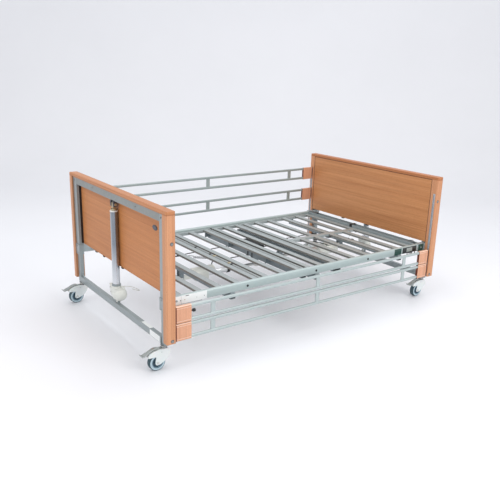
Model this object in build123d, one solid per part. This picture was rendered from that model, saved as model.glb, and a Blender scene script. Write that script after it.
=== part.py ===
from build123d import *
import math
import os

# A height-adjustable care bed: wooden bed ends on telescoping legs with lift columns,
# a hinged mattress platform with two actuators, four braked casters and side rails.
# Millimetres, +Z up. The drawing frame is centred on the wooden bed, with +X the head
# end and -Y the near long side. save() moves each piece so that the origin is the
# bottom centre of the whole bed's bounding box.
# "end" is -1 at the foot and +1 at the head; "side" is -1 near and +1 far.

os.makedirs("parts", exist_ok=True)

SHIFT_X = 53.5    # the brake pedals stick out at the foot end
SHIFT_Z = -5.0    # the wheels touch z = 5 in the drawing frame

ENDS = ((-1, "foot"), (1, "head"))
SIDES = (-1, 1)
CORNERS = [(end, side) for end, _ in ENDS for side in SIDES]

WELD = 0.5        # overlap that fuses neighbouring members
OVERCUT = 5.0     # how far a cutter runs past the face it opens
PIN_CLEAR = 0.05  # radial play around hinge, axle and actuator pins


# ------------------------------------------------------------------- helpers
AXES = {"x": Axis.X, "y": Axis.Y, "z": Axis.Z}


def span_box(x0, x1, y0, y1, z0, z1):
    """Box between two limits on each axis, given in either order."""
    centre = Pos((x0 + x1) / 2, (y0 + y1) / 2, (z0 + z1) / 2)
    return centre * Box(abs(x1 - x0), abs(y1 - y0), abs(z1 - z0))


def corner_box(end, side, x0, x1, y0, y1, z0, z1):
    """Box drawn for the head far corner and mirrored to the given corner."""
    return span_box(end * x0, end * x1, side * y0, side * y1, z0, z1)


def round_edges(shape, axis, radius, keep=lambda centre: True):
    """Fillet the edges along an axis whose centre passes the test."""
    edges = shape.edges().filter_by(AXES[axis])
    return fillet([edge for edge in edges if keep(edge.center())], radius)


def round_box(x0, x1, y0, y1, z0, z1, axis, radius):
    return round_edges(span_box(x0, x1, y0, y1, z0, z1), axis, radius)


def tube(x0, x1, y0, y1, z0, z1, axis, wall, radius=3.0):
    """Rectangular tube, open at both ends, running along the axis."""
    inner = []
    for name, limits in zip("xyz", ((x0, x1), (y0, y1), (z0, z1))):
        inset = -OVERCUT if name == axis else wall
        inner += [min(limits) + inset, max(limits) - inset]
    outer = round_box(x0, x1, y0, y1, z0, z1, axis, radius)
    return outer - round_box(*inner, axis, max(radius - wall, 0.4))


def cyl_x(radius, x0, x1, y, z):
    return Pos((x0 + x1) / 2, y, z) * Rot(0, 90, 0) * Cylinder(radius, abs(x1 - x0))


def cyl_y(radius, y0, y1, x, z):
    return Pos(x, (y0 + y1) / 2, z) * Rot(90, 0, 0) * Cylinder(radius, abs(y1 - y0))


def cyl_z(radius, z0, z1, x, y):
    return Pos(x, y, (z0 + z1) / 2) * Cylinder(radius, abs(z1 - z0))


def prism_y(points, y0, y1, radius=0.0):
    """(x, z) outline extruded between y0 and y1, corners optionally rounded."""
    y0, y1 = sorted((y0, y1))
    face = make_face(Polyline(*points, close=True))
    if radius:
        face = fillet(face.vertices(), radius)
    # Plane.XZ faces -Y, so the extrusion runs from y = 0 towards -Y
    return Pos(0, y1, 0) * extrude(Plane.XZ * face, amount=y1 - y0)


def prism_x(points, x0, x1):
    """(y, z) outline extruded between x0 and x1."""
    x0, x1 = sorted((x0, x1))
    face = make_face(Polyline(*points, close=True))
    return Pos(x0, 0, 0) * extrude(Plane.YZ * face, amount=x1 - x0)


def fuse(*shapes):
    """Union of the shapes, added in order."""
    result = shapes[0]
    for shape in shapes[1:]:
        result = result + shape
    return result


def save(name, *shapes):
    solids = [Pos(SHIFT_X, 0, SHIFT_Z) * solid for shape in shapes for solid in shape.solids()]
    piece = solids[0] if len(solids) == 1 else Compound(children=solids)
    piece.label = name
    export_step(piece, f"parts/{name}.step")


# --------------------------------------------------------- shared dimensions
BED_L, BED_W = 2170.0, 1320.0          # over the wooden bed ends
POST_X0, POST_X1 = 1030.0, BED_L / 2
POST_Y0, POST_Y1 = 620.0, BED_W / 2
POST_Z0, POST_Z1 = 170.0, 870.0
TOP_Z = 890.0
LIP_Y0 = 610.0                         # lip beside the end panel
PANEL_X0, PANEL_X1, PANEL_Z0 = 1031.0, 1045.0, 420.0
BOLT_X, BOLT_ZS = 1052, (720.0, 185.0)

RAIL_Y = 641.0                         # centre plane of side rails and their channels
BLOCK_HALF_W = 9.0                     # rail end block, also the channel it meets
RAIL_Y0, RAIL_Y1 = RAIL_Y - BLOCK_HALF_W, RAIL_Y + BLOCK_HALF_W
CHANNEL_X1, CHANNEL_TOP, CHANNEL_WALL = 1041.0, 774.0, 3.5

LEG_X0, LEG_X1 = 1045.0, 1075.0        # outer leg tube
LEG_Y0, LEG_Y1 = 570.0, 620.0
LEG_Z0, LEG_BORE_TOP = 345.0, 860.0
XBAR_Z0 = 822.0                        # underside of the top metal crossbar
INLEG_INSET = 3.0                      # inner leg face inside outer leg face
INLEG_X0, INLEG_X1 = LEG_X0 + INLEG_INSET, LEG_X1 - INLEG_INSET
INLEG_Y0, INLEG_Y1 = LEG_Y0 + INLEG_INSET, LEG_Y1 - INLEG_INSET
INLEG_TOP = 850.0
LEG_CLEAR = 0.2                        # each side between the two leg tubes
LOW_X0, LOW_X1 = 1049.0, LEG_X1        # lower crossbar
LOW_Z0, LOW_Z1 = 145.0, 185.0
STEM_X, STEM_Y, STEM_R = 1063.0, 583.0, 5.5

LIFT_X = 1068.5                        # lift column axis
LIFT_R, LIFT_BORE, PISTON_R = 22.5, 14.6, 14.0
LIFT_Z0, LIFT_Z1 = 312.0, 757.0
LIFT_PIN_R, LIFT_HOLE_R = 5.0, 5.1
LIFT_HEAD_Z = 801                      # upper lift pin
LIFT_FOOT_X, LIFT_FOOT_Z = 1062, 195   # lower lift pin

SIDE_X = 1020.0                        # platform side members
SIDE_Y0, SIDE_Y1 = 575.0, 600.0
SIDE_Z0, SIDE_Z1 = 358.0, 408.0
COUPLER_Y0 = 571.9


# ------------------------------------------------------------------ bed ends
def end_post(end, side):
    post = corner_box(end, side, POST_X0, POST_X1, POST_Y0, POST_Y1, POST_Z0, POST_Z1)
    post = round_edges(post, "z", 6, lambda c: abs(c.Y) > 655)
    post = post + corner_box(end, side, POST_X0, LEG_X0 - 0.2, LIP_Y0, POST_Y0, POST_Z0, POST_Z1)
    post = post - corner_box(end, side, POST_X0 - OVERCUT, CHANNEL_X1, RAIL_Y0, RAIL_Y1,
                             POST_Z0 - OVERCUT, CHANNEL_TOP)
    # shadow groove under the top rail
    post = post - (corner_box(end, side, 1020, 1090, 600, 670, POST_Z1 - 2, POST_Z1 + 5)
                   - corner_box(end, side, 1028, 1083.2, 605, 658.2, POST_Z1 - 3, POST_Z1 + 6))
    for z in BOLT_ZS:
        post = post - cyl_y(4.1, side * 630, side * 670, end * BOLT_X, z)
    return post


def end_bolt(end, side, z):
    """Shank and a round head with a shallow socket, on the outer face of a post."""
    x = end * BOLT_X
    head = cyl_y(6.5, side * POST_Y1, side * 662.5, x, z) - cyl_y(3.0, side * 661.2, side * 664, x, z)
    return cyl_y(4.0, side * 652, side * POST_Y1, x, z) + head


def rail_channel(end, side):
    """Channel in the post, open towards the bed and at the bottom."""
    outer = corner_box(end, side, POST_X0, CHANNEL_X1, RAIL_Y0, RAIL_Y1, POST_Z0, CHANNEL_TOP)
    return outer - corner_box(end, side, POST_X0 - OVERCUT, 1039.5, RAIL_Y0 + CHANNEL_WALL,
                              RAIL_Y1 - CHANNEL_WALL, POST_Z0 - OVERCUT, 768)


def corner_coupler(end, side):
    """Sleeve around the end of a side member, with a tongue to the leg and a round boss."""
    sleeve = corner_box(end, side, 966, 1024, COUPLER_Y0, 603, 355, 411)
    sleeve = round_edges(sleeve, "x", 3)
    sleeve = sleeve - corner_box(end, side, 960, SIDE_X, SIDE_Y0, SIDE_Y1, SIDE_Z0, SIDE_Z1)
    sleeve = sleeve + corner_box(end, side, 1023, LEG_X0, 572, 609.5, 357, 409)
    return sleeve + cyl_y(6, side * 603, side * 606, end * 995, 383)


def leg_collar(end, side):
    """Collar around the bottom of the outer leg."""
    collar = corner_box(end, side, LEG_X0, 1079, 566, 619.9, 342, 412)
    collar = round_edges(collar, "z", 5, lambda c: abs(c.X) > 1070 and abs(c.Y) < 600)
    return collar - corner_box(end, side, 1040, LEG_X1, LEG_Y0, 630, 340, 415)


def top_rail(end):
    rail = span_box(end * POST_X0, end * POST_X1, -POST_Y1, POST_Y1, POST_Z1, TOP_Z)
    rail = round_edges(rail, "z", 6)
    return fillet(rail.faces().sort_by(Axis.Z)[-1].edges(), 5)


def end_panel(end):
    return span_box(end * PANEL_X0, end * PANEL_X1, -LIP_Y0, LIP_Y0, PANEL_Z0, POST_Z1)


def upper_frame(end):
    """Two outer legs, bored from below, joined by the top crossbar."""
    legs = []
    for side in SIDES:
        leg = round_box(end * LEG_X0, end * LEG_X1, side * LEG_Y0, side * LEG_Y1,
                        LEG_Z0, POST_Z1, "z", 2.5)
        legs.append(leg - corner_box(end, side, INLEG_X0 - LEG_CLEAR, INLEG_X1 + LEG_CLEAR,
                                     INLEG_Y0 - LEG_CLEAR, INLEG_Y1 + LEG_CLEAR,
                                     LEG_Z0 - OVERCUT, LEG_BORE_TOP))
    crossbar = tube(end * LEG_X0, end * LEG_X1, -LEG_Y0 - WELD, LEG_Y0 + WELD,
                    XBAR_Z0, POST_Z1, "y", 2.5, 2.5)
    return fuse(*legs, crossbar)


def lift_piston(end):
    """Lift column piston with collar and eye, hung from the top crossbar."""
    x = end * LIFT_X
    piston = cyl_z(PISTON_R, 330, 768, x, 0) + cyl_z(18, 765.5, 775, x, 0)
    piston = piston + round_box(x - 9, x + 9, -11, 11, 774, 812, "y", 4)
    return piston - cyl_y(LIFT_HOLE_R, -20, 20, x, LIFT_HEAD_Z)


def lift_clevis(end):
    clevis = (span_box(end * 1057, end * 1080, -24, -12, 786, XBAR_Z0)
              + span_box(end * 1057, end * 1080, 12, 24, 786, XBAR_Z0))
    clevis = round_edges(clevis, "y", 6, lambda c: c.Z < 790)
    return clevis - cyl_y(LIFT_HOLE_R, -30, 30, end * LIFT_X, LIFT_HEAD_Z)


def headed_pin(radius, half_length, head_radius, head_in, head_out, x, z):
    """Pin along Y with a disc head at each end."""
    return fuse(cyl_y(radius, -half_length, half_length, x, z),
                cyl_y(head_radius, -head_out, -head_in, x, z),
                cyl_y(head_radius, head_in, head_out, x, z))


save("end_posts", *[end_post(*corner) for corner in CORNERS])
save("top_rails", *[top_rail(end) for end, _ in ENDS])
save("end_panels", *[end_panel(end) for end, _ in ENDS])
save("upper_frames", *[upper_frame(end) for end, _ in ENDS])
save("leg_collars", *[leg_collar(*corner) for corner in CORNERS])
save("rail_channels", *[rail_channel(*corner) for corner in CORNERS])
save("corner_couplers", *[corner_coupler(*corner) for corner in CORNERS])
save("end_bolts", *[end_bolt(*corner, z) for corner in CORNERS for z in BOLT_ZS])
save("lift_pistons", *[lift_piston(end) for end, _ in ENDS])
clevis_parts = []
for end, _ in ENDS:
    clevis_parts += [lift_clevis(end),
                     headed_pin(LIFT_PIN_R, 26, 8, 25, 29, end * LIFT_X, LIFT_HEAD_Z)]
save("lift_clevises", *clevis_parts)

# -------------------------------------------------------- platform main frame
SEC_Y0, SEC_Y1 = 548.0, 570.0        # side tubes of the mattress sections
SEC_Z0, SEC_Z1 = 370.0, 392.0
SEC_WALL = 2.0
SLAT_Z0 = 377.0
HINGE_Z = (SEC_Z0 + SEC_Z1) / 2
BACK_HX = 230.0                      # backrest hinge
THIGH_HX = -55.0                     # thigh hinge
LEG_HX = -390.0                      # hinge between thigh and lower-leg section
PIN_R = 5.0

SEAT_BEAM = (-5.0, 35.0)             # x limits of the beams under the side members
BACK_BEAM = (765.0, 800.0)           # carries the backrest actuator
THIGH_BEAM = (-645.0, -610.0)        # carries the thigh actuator
BACK_ROD_Z, THIGH_ROD_Z = 285.0, 264.0
ACT_PIN_R = 6.0
ACT_HOLE_R = ACT_PIN_R + PIN_CLEAR

SOCKET_X, SOCKET_Y = 982, 515        # pole sockets
SOCKET_R, SOCKET_BORE, SOCKET_TOP = 23, 19, 412
LEDGE_X0, LEDGE_X1 = -965, -818


def head_channel():
    """Head-end channel, open upwards, notched for the pole sockets."""
    channel = span_box(957, 1007, -COUPLER_Y0, COUPLER_Y0, 360, 408)
    channel = round_edges(channel, "y", 4, lambda c: c.Z < 365)
    channel = channel - span_box(960.5, 1003.5, -580, 580, 364, 415)
    for side in SIDES:
        channel = channel - cyl_z(SOCKET_R + 0.05, 350, 420, SOCKET_X, side * SOCKET_Y)
    return channel


def cross_beam(x0, x1):
    """Beam with a pad up to each side member."""
    beam = tube(x0, x1, -598, 598, 318, 352, "y", 2.0, 3)
    pads = [span_box(x0 + 4, x1 - 4, side * 578, side * 597, 350.5, SIDE_Z0) for side in SIDES]
    return fuse(beam, *pads)


def glide_ledge(side):
    """Angle the lower-leg glides run on."""
    return (span_box(LEDGE_X0, LEDGE_X1, side * 546, side * SIDE_Y0, 345, 350.5)
            + span_box(LEDGE_X0, LEDGE_X1, side * 572, side * SIDE_Y0, 345, 372))


def actuator_hanger(x0, x1, pin_z, side):
    hanger = span_box(x0 + 2, x1 - 2, side * 15, side * 20, pin_z - 16, 319.5)
    hanger = round_edges(hanger, "y", 8, lambda c: c.Z < 290)
    return hanger - cyl_y(ACT_HOLE_R, -30, 30, (x0 + x1) / 2, pin_z)


def pole_socket(side):
    """Cup with a rim, open at the top."""
    y = side * SOCKET_Y
    cup = cyl_z(SOCKET_R, 322, SOCKET_TOP, SOCKET_X, y) - cyl_z(SOCKET_BORE, 326, 420, SOCKET_X, y)
    return cup + (cyl_z(26, 408, SOCKET_TOP, SOCKET_X, y) - cyl_z(SOCKET_BORE, 400, 420, SOCKET_X, y))


save("side_members", *[tube(-SIDE_X, SIDE_X, side * SIDE_Y0, side * SIDE_Y1, SIDE_Z0, SIDE_Z1,
                            "x", 2.0, 8.0) for side in SIDES])
save("platform_plugs", *[cyl_y(7.0, side * SIDE_Y1, side * (SIDE_Y1 + 2.0), x, HINGE_Z)
                         for side in SIDES for x in (-527.0, 0.0, 460.0)])
save("cross_members",
     head_channel(),
     *[cross_beam(*beam) for beam in (SEAT_BEAM, BACK_BEAM, THIGH_BEAM)],
     *[glide_ledge(side) for side in SIDES],
     *[actuator_hanger(*beam, pin_z, side)
       for beam, pin_z in ((BACK_BEAM, BACK_ROD_Z), (THIGH_BEAM, THIGH_ROD_Z))
       for side in SIDES])
save("pole_sockets", *[pole_socket(side) for side in SIDES])

# ----------------------------------------------------------- mattress sections
BACK_LEVER, BACK_SWING = 105.0, 35.0     # lever length, swings +- this many degrees
THIGH_LEVER, THIGH_SWING = 120.0, 19.0
LEG_FAR_X = -968                         # foot end of the lower-leg section
THIGH_FAR_X = -372
LUG_Y0, LUG_Y1 = 541, 546.5              # thigh lugs and pin heads inside the side tubes

# slat limits (x0, x1)
SEAT_SLATS = ((-32, 3), (62, 102), (174, 210))
BACK_SLATS = ((250, 286), (362, 400), (492, 530), (645, 683), (788, 826), (907, 945))
THIGH_SLATS = ((-115, -78), (-245, -207), (THIGH_FAR_X, -334))
LEG_SLATS = ((-450, -412), (-580, -542), (-710, -672), (-838, -800), (LEG_FAR_X, -930))


def slats(limits):
    return [tube(x0, x1, -SEC_Y0 - WELD, SEC_Y0 + WELD, SLAT_Z0, SEC_Z1, "y", 1.6, 2.5)
            for x0, x1 in limits]


def seat_side(side):
    """Seat side tube with two tabs to the side member."""
    rail = tube(-36, 212, side * SEC_Y0, side * SEC_Y1, SEC_Z0, SEC_Z1, "x", SEC_WALL, 3)
    tabs = [span_box(x, x + 24, side * (SEC_Y1 - WELD), side * SIDE_Y0, 374, 388)
            for x in (-10, 180)]
    return fuse(rail, *tabs)


def pivot_pin(side, x):
    """Hinge pin held by the side member, with a collar at each end."""
    return fuse(cyl_y(PIN_R, side * 543, side * SIDE_Y0, x, HINGE_Z),
                cyl_y(8.5, side * LUG_Y0, side * LUG_Y1, x, HINGE_Z),
                cyl_y(8.0, side * 571, side * SIDE_Y0, x, HINGE_Z))


def section_side(side, far_x, hinge_x):
    """Side tube from the far end to a solid rounded end bored for the hinge."""
    away = 1 if far_x > hinge_x else -1
    rail = round_box(hinge_x, far_x, side * SEC_Y0, side * SEC_Y1, SEC_Z0, SEC_Z1, "x", 2.5)
    rail = rail - span_box(hinge_x + away * 14, far_x + away * OVERCUT,
                           side * (SEC_Y0 + SEC_WALL), side * (SEC_Y1 - SEC_WALL),
                           SEC_Z0 + SEC_WALL, SEC_Z1 - SEC_WALL)
    rail = rail + cyl_y((SEC_Z1 - SEC_Z0) / 2, side * SEC_Y0, side * SEC_Y1, hinge_x, HINGE_Z)
    return rail - cyl_y(PIN_R + PIN_CLEAR, side * (SEC_Y0 - OVERCUT), side * (SEC_Y1 + OVERCUT),
                        hinge_x, HINGE_Z)


def lever_pin(hinge_x, length, swing, direction):
    """(x, z) of the pin on a lever hanging swing degrees towards the given x direction."""
    angle = math.radians(swing)
    return hinge_x + direction * length * math.sin(angle), HINGE_Z - length * math.cos(angle)


BACK_PIN_X, BACK_PIN_Z = lever_pin(BACK_HX, BACK_LEVER, BACK_SWING, -1)
THIGH_PIN_X, THIGH_PIN_Z = lever_pin(THIGH_HX, THIGH_LEVER, THIGH_SWING, 1)


def lever(root, tip, pin_x, pin_z):
    """Two plates and their pin; root points are (x, z), tip points offsets from the pin."""
    outline = root + [(pin_x + x, pin_z + z) for x, z in tip]
    plates = [prism_y(outline, side * 12.5, side * 17.5) for side in SIDES]
    return plates + [cyl_y(6.0, -21, 21, pin_x, pin_z)]


def brackets(x0, x1):
    """Plates between the cross tube below the hinge and the nearest slat."""
    return [span_box(x0, x1, y - 4, y + 4, 340, 378.5) for y in (-530, -220, 220, 530)]


def backrest_section():
    """Flat at rest, turns up about the hinge at BACK_HX."""
    return fuse(
        *[section_side(side, 945, BACK_HX) for side in SIDES],
        *slats(BACK_SLATS),
        tube(284, 909, -20, 20, 374, SEC_Z1, "x", 1.8, 2.5),
        tube(195, 265, -546, 546, 322, 356, "y", 2.5, 5),
        cyl_y(9.0, -538, 538, BACK_HX, HINGE_Z),
        *brackets(234, 284),
        *lever([(200, 340), (250, 340)], [(12, -6), (2, -12), (-9, -8), (-12, 2)],
               BACK_PIN_X, BACK_PIN_Z))


def thigh_side(side):
    """Thigh side tube with the lug and pin that carry the lower-leg section."""
    return fuse(
        section_side(side, THIGH_FAR_X, THIGH_HX),
        span_box(LEG_HX, -336, side * LUG_Y0, side * LUG_Y1, SEC_Z0 + 0.5, SEC_Z1 - 0.5),
        cyl_y(10.5, side * LUG_Y0, side * LUG_Y1, LEG_HX, HINGE_Z),
        cyl_y(PIN_R, side * LUG_Y0, side * 569.5, LEG_HX, HINGE_Z))


def thigh_section():
    return fuse(
        *[thigh_side(side) for side in SIDES],
        *slats(THIGH_SLATS),
        tube(-75, -35, -546, 546, 325, 365, "y", 2.5, 4),
        cyl_y(9.0, -538, 538, THIGH_HX, HINGE_Z),
        cyl_y(9.0, -543, 543, LEG_HX, HINGE_Z),
        *brackets(-110, -58),
        *lever([(-74, 346), (-36, 346)], [(12, 2), (9, -8), (-2, -12), (-12, -6)],
               THIGH_PIN_X, THIGH_PIN_Z))


def leg_glide(side):
    return round_box(-962, -930, side * SEC_Y0, side * SEC_Y1, 352, SEC_Z0, "y", 2.5)


save("seat_section", fuse(*[seat_side(side) for side in SIDES], *slats(SEAT_SLATS)))
save("pivot_pins", *[pivot_pin(side, x) for side in SIDES for x in (BACK_HX, THIGH_HX)])
save("backrest_section", backrest_section())
save("thigh_section", thigh_section())
save("leg_section", fuse(*[section_side(side, LEG_FAR_X, LEG_HX) for side in SIDES],
                         *slats(LEG_SLATS)))
save("leg_glides", *[leg_glide(side) for side in SIDES])

# ------------------------------------------------------- platform actuators
BACK_ANCHOR_X = sum(BACK_BEAM) / 2
THIGH_ANCHOR_X = sum(THIGH_BEAM) / 2
GEARBOX_L = 90


def actuator_rod(pin_x, pin_z, low_z, rod_z, end_x):
    """Round rod with a slotted head; the lever pin moves between pin_z and low_z."""
    away = 1 if end_x > pin_x else -1
    head = round_box(pin_x - 19, pin_x + 19, -11.5, 11.5, pin_z + 12.5, low_z - 13.5, "y", 4)
    rod = head + cyl_x(10, pin_x + away * 12, end_x, 0, rod_z)
    rod = rod - span_box(pin_x - 8, pin_x + 8, -20, 20, pin_z + 0.5, low_z - 0.5)
    return rod - cyl_y(8, -20, 20, pin_x, pin_z) - cyl_y(8, -20, 20, pin_x, low_z)


def actuator_body(tip_x, gear_x, anchor_x, z, motor_side):
    """Guide tube, gearbox, parallel motor and rear lug, bored for the rod."""
    away = 1 if anchor_x > tip_x else -1
    back_x = gear_x + away * GEARBOX_L
    guide = cyl_x(18, tip_x, gear_x, 0, z) + cyl_x(21, tip_x, tip_x + away * 10, 0, z)
    gearbox = round_box(gear_x, back_x, -34, 34, z - 34, z + 30, "x", 14)
    motor = cyl_x(29, gear_x - away * 95, back_x - away * 4, motor_side * 62, z)
    motor = fillet(motor.edges().filter_by(GeomType.CIRCLE), 10)
    bridge = span_box(gear_x + away * 6, back_x - away * 8, motor_side * 20, motor_side * 70,
                      z - 22, z + 22)
    lug = span_box(back_x - away * 2, anchor_x, -12, 12, z - 13, z + 13)
    body = fuse(guide, gearbox, motor, bridge, lug, cyl_y(13, -12, 12, anchor_x, z))
    body = body - cyl_x(10.6, tip_x - away * OVERCUT, gear_x + away * 50, 0, z)
    return body - cyl_y(ACT_HOLE_R, -20, 20, anchor_x, z)


def cable(points, radius=3.2):
    """Round cable through a list of points, with ball corners."""
    runs = []
    for start, stop in zip(points[:-1], points[1:]):
        run = Vector(*stop) - Vector(*start)
        runs.append(Plane(origin=Vector(*start), z_dir=run) * Pos(0, 0, run.length / 2)
                    * Cylinder(radius, run.length))
    return fuse(*runs, *[Pos(*point) * Sphere(radius) for point in points[1:-1]])


# (x, y, z) points of each cable, from the control box outwards
CABLE_PATHS = (
    [(60, 153, 312), (60, 120, 300), (-30, 108, 298), (-320, 100, 298), (-350, 66, 284)],
    [(162, 200, 312), (185, 205, 301), (480, 205, 301), (585, 120, 306), (602, 20, 320),
     (620, -62, 312)],
    [(60, 327, 312), (50, 345, 306), (-300, 330, 306), (-600, 300, 308), (-620, 298, 313.5)],
    [(162, 280, 312), (185, 290, 301), (820, 300, 301), (950, 120, 340), (970, 100, 356)],
)

save("backrest_rod", actuator_rod(BACK_PIN_X, BACK_PIN_Z, HINGE_Z - BACK_LEVER, BACK_ROD_Z, 520))
save("thigh_rod", actuator_rod(THIGH_PIN_X, THIGH_PIN_Z, HINGE_Z - THIGH_LEVER, THIGH_ROD_Z, -335))
save("backrest_motor", actuator_body(440, 600, BACK_ANCHOR_X, BACK_ROD_Z, -1))
save("thigh_motor", actuator_body(-250, -430, THIGH_ANCHOR_X, THIGH_ROD_Z, 1))
save("actuator_pins", *[headed_pin(ACT_PIN_R, 24, 9, 23.5, 26, x, z) for x, z in
                        ((BACK_ANCHOR_X, BACK_ROD_Z), (THIGH_ANCHOR_X, THIGH_ROD_Z))])
save("control_box", fillet(span_box(35, 165, 150, 330, 300, 346).edges(), 5))
save("cables", *[cable(path) for path in CABLE_PATHS])


# ------------------------------------- telescoping leg frames and lift columns
def lower_frame(end):
    """Lower crossbar with inner legs, gussets, caster nuts and the lower lift pin."""
    frame = tube(end * LOW_X0, end * LOW_X1, -INLEG_Y0 - WELD, INLEG_Y0 + WELD,
                 LOW_Z0, LOW_Z1, "y", 2.5, 3)
    stem_x = end * STEM_X
    for side in SIDES:
        frame = frame + tube(end * INLEG_X0, end * INLEG_X1, side * INLEG_Y0, side * INLEG_Y1,
                             LOW_Z0, INLEG_TOP, "z", 2.5, 2.5)
        gusset = [(side * 573.2, 184), (side * 573.2, 214), (side * 545, 184)]
        frame = frame + prism_x(gusset, end * 1057, end * 1063)
        # washer and nut that hold the caster stem
        stem_y = side * STEM_Y
        frame = frame + cyl_z(19, 142.5, 145.5, stem_x, stem_y)
        frame = frame + Pos(stem_x, stem_y, 134.5) * extrude(RegularPolygon(13.0, 6), amount=9)
        frame = frame - cyl_z(STEM_R + 0.05, 110, 180, stem_x, stem_y)
    for side in SIDES:
        frame = frame + corner_box(end, side, 1054, 1070, 10.5, 15, LOW_Z1 - WELD, 203)
    return frame + cyl_y(LIFT_PIN_R, -17, 17, end * LIFT_FOOT_X, LIFT_FOOT_Z)


def lift_tube(end):
    """Tube with a blind bore and a flange below; the cap on top is a separate solid."""
    x = end * LIFT_X
    column = (cyl_z(LIFT_R, LIFT_Z0, LIFT_Z1, x, 0)
              - cyl_z(LIFT_BORE, 318, LIFT_Z1 + OVERCUT, x, 0))
    cap = cyl_z(23.2, LIFT_Z1, 764, x, 0) - cyl_z(14.4, LIFT_Z1 - OVERCUT, 770, x, 0)
    flange = cyl_z(27, 300, 309, x, 0) + cyl_z(24.5, 309, 313, x, 0)
    return column + flange, cap


# (y, z) outlines of the gearbox half with its ear, and of the rim along its top
EAR = [(-12, 300), (52, 300), (55, 296), (55, 268), (46, 244), (24, 222), (-4, 212)]
RIM = [(-12, 300), (57, 300), (58, 296), (58, 290), (-12, 290)]


def lift_motor(end):
    """Neck under the flange, domed cover towards -Y, gearbox ear towards +Y."""
    body = cyl_z(29, 252, 300, end * LIFT_X, 0)
    body = body + Pos(end * 1056, -20, 246) * Sphere(42) + cyl_z(36, 246, 284, end * 1058, -10)
    body = body + round_edges(prism_x(EAR, end * 1049, end * 1087), "x", 3)
    body = body + prism_x(RIM, end * 1047.5, end * 1089.5)
    for y, z in ((47, 279), (40, 251)):    # screw bosses
        body = body + cyl_x(5.2, end * 1085, end * 1090.5, y, z)
        body = body - cyl_x(2.6, end * 1088.5, end * 1095, y, z)
    # eye on the lower lift pin
    body = body + round_box(end * 1055, end * 1069, -9.5, 9.5, 187.5, 230, "y", 5)
    return body - cyl_y(LIFT_HOLE_R, -12, 12, end * LIFT_FOOT_X, LIFT_FOOT_Z)


for end, end_name in ENDS:
    save(f"{end_name}_lower_frame", lower_frame(end))
    save(f"{end_name}_lift_tube", *lift_tube(end))
    save(f"{end_name}_lift_motor", lift_motor(end))

# ------------------------------------------------------------------- casters
# Drawn with the stem on the Z axis; the wheel trails towards -X.
WHEEL_R, WHEEL_W, HUB_R = 48.0, 31.0, 33.0
AXLE_X, AXLE_Z = -47.0, 53.0
FORK_GAP = 17.2                      # half width inside the fork
SLOT_HALF = 10.8                     # half width of the pedal slot
PEDAL_X, PEDAL_Z, PEDAL_PIN_R = -24, 111, 3.0

# (x, z) outlines
FORK = [
    (-104, 91), (-103, 100), (-92, 112), (-66, 122), (-36, 126.5), (10, 126.5), (24, 119),
    (29, 104), (22, 82), (4, 61), (-30, 42.5), (-40, 39.5), (-53, 39.5), (-61, 46), (-62, 58),
    (-57, 86), (-60, 89)]
PEDAL_GROOVE = [(-112, 94), (-88, 101.5), (-70, 111.5), (-50, 115), (-50, 140), (-112, 140)]
PEDAL = [
    (-20, 107), (-19, 115), (-27, 127), (-42, 134.5), (-58, 135.5), (-76, 131), (-104, 117.5),
    (-126, 106), (-134, 107), (-140, 113.5), (-142, 112), (-136, 101.5), (-126, 99.5),
    (-102, 110), (-76, 123.5), (-58, 128), (-44, 127), (-34, 120), (-29, 108), (-25, 105.5)]
PEDAL_TOE = [(-108, 115.4), *PEDAL[7:13], (-108, 108)]
PEDAL_HOLLOW = [(-62, 123), (-62, 131), (-76, 128.6), (-104, 115), (-118, 108.3), (-118, 98)]


def axle_cyl(radius, y0, y1):
    return cyl_y(radius, y0, y1, AXLE_X, AXLE_Z)


def caster_fork():
    """Fender over the wheel with a cheek each side down to the axle."""
    fork = prism_y(FORK, -22, 22, 2.2)
    fork = fillet(fork.faces().filter_by(Axis.Y).edges(), 1.6)
    fork = fork - axle_cyl(WHEEL_R + 2.5, -FORK_GAP, FORK_GAP)
    fork = fork - span_box(-106, -60, -FORK_GAP, FORK_GAP, 60, 93.5)
    # pedal slot and groove in the roof, then the pedal pin hole
    fork = fork - span_box(-56, -16, -SLOT_HALF, SLOT_HALF, 90, 135)
    fork = fork - prism_y(PEDAL_GROOVE, -SLOT_HALF, SLOT_HALF)
    fork = fork - cyl_y(PEDAL_PIN_R + PIN_CLEAR, -30, 30, PEDAL_X, PEDAL_Z)
    return fuse(
        fork,
        # ball race and stem
        cyl_z(18, 126, 130.5, 0, 0), cyl_z(15.5, 130.5, 133.8, 0, 0),
        cyl_z(STEM_R, 126, 166, 0, 0),
        # axle with a head at each end
        axle_cyl(PIN_R, -24, 24), axle_cyl(6.5, -24, -21.5), axle_cyl(6.5, 21.5, 24))


def caster_hub():
    """Dished disc with a centre boss, six ribs and a rim, bored for the axle."""
    hub = axle_cyl(HUB_R, -11, 11) - axle_cyl(HUB_R - 5, -13, -7) - axle_cyl(HUB_R - 5, 7, 13)
    hub = hub + axle_cyl(13, -16.4, 16.4)
    for degrees in range(0, 360, 60):
        angle = math.radians(degrees)
        centre = Pos(AXLE_X + 20 * math.cos(angle), 0, AXLE_Z + 20 * math.sin(angle))
        hub = hub + centre * Rot(0, -degrees, 0) * Box(17, 20, 3.2)
    hub = hub + (axle_cyl(HUB_R, -12.5, 12.5) - axle_cyl(HUB_R - 4, -14, 14))
    return hub - axle_cyl(PIN_R + PIN_CLEAR, -20, 20)


def caster_tyre():
    tyre = axle_cyl(WHEEL_R, -WHEEL_W / 2, WHEEL_W / 2)
    tyre = fillet(tyre.edges().filter_by(GeomType.CIRCLE), 5.0)
    tyre = tyre - axle_cyl(HUB_R, -20, 20)
    for side in SIDES:    # shallow step around the hub on each face
        tyre = tyre - axle_cyl(HUB_R + 3.5, side * 14.6, side * 17)
    return tyre


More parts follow.
